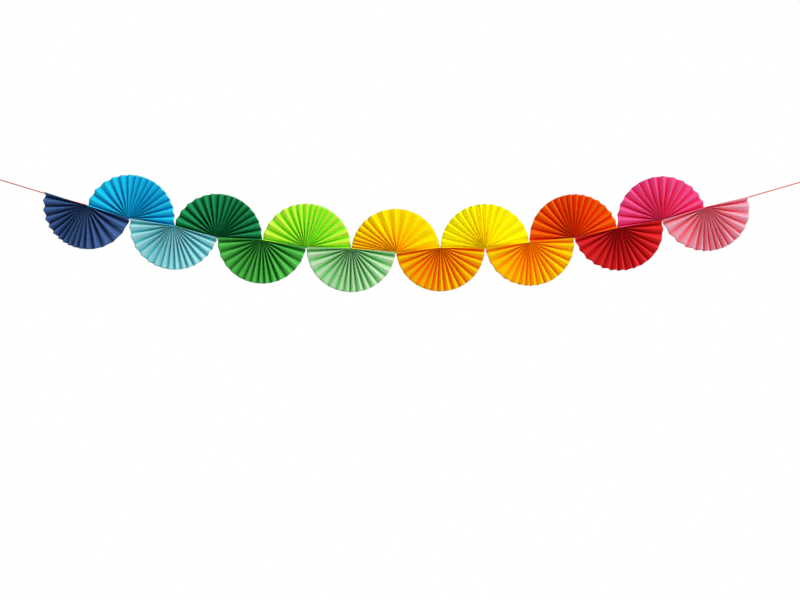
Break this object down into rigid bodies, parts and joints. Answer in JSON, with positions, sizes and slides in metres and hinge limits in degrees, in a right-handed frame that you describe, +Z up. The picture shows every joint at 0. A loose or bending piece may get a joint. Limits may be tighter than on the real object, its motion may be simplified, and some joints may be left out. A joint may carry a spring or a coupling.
{
  "type": "paper fan garland",
  "caption": "Hanging garland of accordion-folded paper half-disc fans in rainbow colours, alternately hanging and standing along a thin cord with a loop at each end.",
  "frame": {"origin": "point where the left hanging loop bears on its hook", "axes": "+X along the garland from its left end to its right end, +Y from the front to the back, +Z up"},
  "size_m": [1.916, 0.0425, 0.2733],
  "materials": {
    "navy_paper": "matte",
    "sky_blue_paper": "matte",
    "aqua_paper": "matte",
    "dark_green_paper": "matte",
    "green_paper": "matte",
    "lime_paper": "matte",
    "mint_paper": "matte",
    "gold_paper": "matte",
    "amber_paper": "matte",
    "yellow_paper": "matte",
    "saffron_paper": "matte",
    "orange_paper": "matte",
    "red_paper": "matte",
    "magenta_paper": "matte",
    "pink_paper": "matte",
    "cord": "matte"
  },
  "bodies": {
    "root": {"navy_fan": "navy_paper", "sky_blue_fan": "sky_blue_paper", "aqua_fan": "aqua_paper", "dark_green_fan": "dark_green_paper", "green_fan": "green_paper", "lime_fan": "lime_paper", "mint_fan": "mint_paper", "gold_fan": "gold_paper", "amber_fan": "amber_paper", "yellow_fan": "yellow_paper", "saffron_fan": "saffron_paper", "orange_fan": "orange_paper", "red_fan": "red_paper", "magenta_fan": "magenta_paper", "pink_fan": "pink_paper", "garland_cord": "cord", "left_cord_end": "cord", "right_cord_end": "cord", "left_loop": "cord", "right_loop": "cord"}
  },
  "joints": []
}
